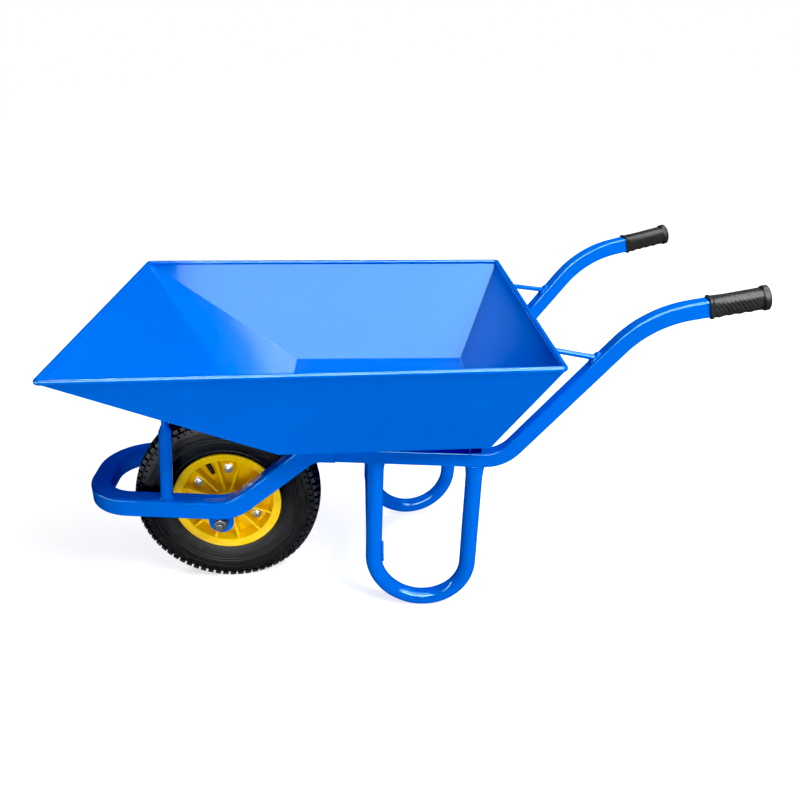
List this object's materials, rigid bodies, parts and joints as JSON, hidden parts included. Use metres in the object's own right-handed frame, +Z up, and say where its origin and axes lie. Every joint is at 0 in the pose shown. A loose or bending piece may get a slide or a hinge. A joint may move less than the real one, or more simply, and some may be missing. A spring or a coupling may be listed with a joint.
{
  "type": "wheelbarrow",
  "caption": "Wheelbarrow with a folded sheet-steel tray on a bent square-tube frame, U-shaped legs, rubber handle grips and a block-tread pneumatic wheel turning on ball bearings.",
  "frame": {"origin": "on the floor under the middle of the overall length and width, as the barrow stands on its wheel and legs", "axes": "+X towards the handles, +Y to the side away from the picture's camera, +Z up"},
  "size_m": [1.2986, 0.7396, 0.6677],
  "materials": {
    "blue_paint": "glossy blue paint on steel",
    "yellow_rim": "glossy moulded yellow plastic",
    "tyre_rubber": "matt black tyre rubber",
    "tube_rubber": "smooth black rubber",
    "grip_rubber": "satin black moulded rubber",
    "cap_plastic": "matt black plastic",
    "zinc_steel": "zinc-plated steel",
    "bearing_steel": "ground bearing steel",
    "cage_brass": "stamped brass"
  },
  "bodies": {
    "frame": {"front_hoop": "blue_paint", "tray_pan": "blue_paint", "rim_rod": "blue_paint", "front_bearer": "blue_paint", "rear_bearer": "blue_paint", "leg_tie": "blue_paint", "left_rail": "blue_paint", "right_rail": "blue_paint", "left_joint_plate": "blue_paint", "right_joint_plate": "blue_paint", "left_leg": "blue_paint", "right_leg": "blue_paint", "left_front_strut": "blue_paint", "right_front_strut": "blue_paint", "left_rear_stay": "blue_paint", "right_rear_stay": "blue_paint", "left_axle_lug": "blue_paint", "right_axle_lug": "blue_paint", "left_tray_side": "blue_paint", "right_tray_side": "blue_paint", "left_grip": "grip_rubber", "right_grip": "grip_rubber", "left_axle_spacer": "zinc_steel", "right_axle_spacer": "zinc_steel", "left_bearing_inner_ring": "bearing_steel", "right_bearing_inner_ring": "bearing_steel", "axle": "zinc_steel", "distance_tube": "zinc_steel", "axle_washers": "zinc_steel", "axle_nuts": "zinc_steel"},
    "wheel": {"tyre": "tyre_rubber", "inner_tube": "tube_rubber", "rim_bolts": "zinc_steel", "rim_nuts": "zinc_steel", "rim_washers": "zinc_steel", "valve_stem": "tube_rubber", "valve_cap": "cap_plastic", "left_rim_half": "yellow_rim", "right_rim_half": "yellow_rim", "left_bearing_outer_ring": "bearing_steel", "right_bearing_outer_ring": "bearing_steel", "left_bearing_shields": "bearing_steel", "right_bearing_shields": "bearing_steel"},
    "bearing_cages": {"left_bearing_balls": "bearing_steel", "right_bearing_balls": "bearing_steel", "left_bearing_cage": "cage_brass", "right_bearing_cage": "cage_brass"}
  },
  "joints": [
    {"name": "wheel_spin", "type": "hinge", "parent": "frame", "child": "wheel", "pos_m": [-0.37015, 0, 0.1985], "axis": [0, 1, 0], "continuous": true},
    {"name": "cage_spin", "type": "hinge", "parent": "frame", "child": "bearing_cages", "pos_m": [-0.37015, 0, 0.1985], "axis": [0, 1, 0], "continuous": true}
  ],
  "couplings": [
    {"joint": "cage_spin", "follows": "wheel_spin", "ratio": 0.60188}
  ]
}
